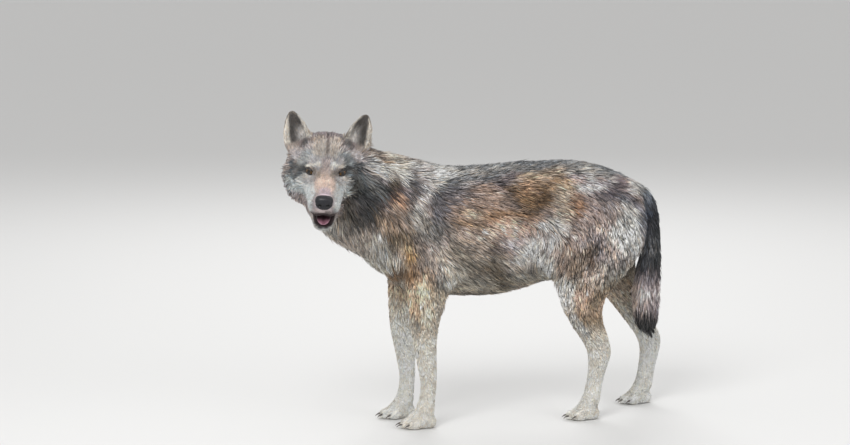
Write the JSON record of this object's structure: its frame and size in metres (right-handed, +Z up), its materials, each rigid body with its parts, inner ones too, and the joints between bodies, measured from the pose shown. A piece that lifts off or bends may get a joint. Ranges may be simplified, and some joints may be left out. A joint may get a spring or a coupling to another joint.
{
  "type": "timber wolf, life-size still model",
  "caption": "Life-size model of a timber wolf standing on all fours, head turned to its left, mouth a little open, tail hanging.",
  "frame": {"origin": "on the floor plane, under the middle of the whole animal's bounding box", "axes": "+X runs from head to tail, so the wolf faces -X; its left side is at -Y; +Z is up; the head is turned towards -Y"},
  "size_m": [1.1338, 0.4596, 0.8787],
  "materials": {
    "fur_trunk": "long coarse fur",
    "fur_neck": "long coarse fur",
    "fur_head": "short fur",
    "fur_jaw": "short fur",
    "fur_ear": "short dense fur",
    "fur_foreleg": "short fur",
    "fur_hindleg": "short fur",
    "fur_tail": "long coarse fur",
    "nose_leather": "moist and pebbled",
    "tongue_flesh": "moist",
    "eye_amber": "clear and wet"
  },
  "bodies": {
    "root": {"trunk": "fur_trunk", "neck": "fur_neck", "head": "fur_head", "lower_jaw": "fur_jaw", "tongue": "tongue_flesh", "nose": "nose_leather", "tail": "fur_tail", "eye_left": "eye_amber", "eye_right": "eye_amber", "ear_left": "fur_ear", "ear_right": "fur_ear", "foreleg_left": "fur_foreleg", "foreleg_right": "fur_foreleg", "hindleg_left": "fur_hindleg", "hindleg_right": "fur_hindleg"}
  },
  "joints": []
}
